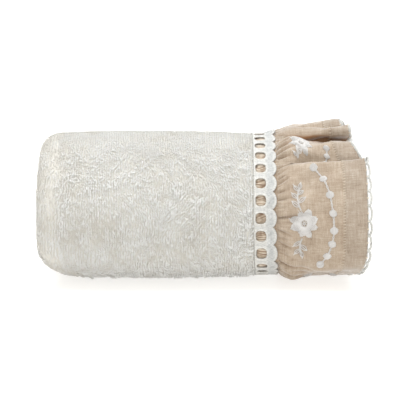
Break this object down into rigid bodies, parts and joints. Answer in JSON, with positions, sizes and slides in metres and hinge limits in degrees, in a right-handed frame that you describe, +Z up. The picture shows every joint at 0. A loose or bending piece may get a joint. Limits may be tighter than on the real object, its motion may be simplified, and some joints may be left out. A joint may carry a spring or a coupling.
{
  "type": "rolled hand towel",
  "caption": "Plush terry hand towel rolled into a bundle, its end trimmed with scalloped eyelet lace tape and a gathered linen frill with a picot edge.",
  "frame": {"origin": "middle of the underside of the whole, on the surface it rests on", "axes": "+X along the roll towards the ruffle, -Y the front seen in the picture, +Z up"},
  "size_m": [0.292, 0.17, 0.1355],
  "materials": {
    "terry": "deep looped cotton pile, off-white",
    "linen": "plain woven natural linen, matt",
    "tape": "white cotton eyelet tape, closely overcast",
    "edging": "cream crochet cotton picots"
  },
  "bodies": {
    "root": {"terry_roll": "terry", "linen_ruffle": "linen", "eyelet_tape": "tape", "lace_edging": "edging"}
  },
  "joints": []
}
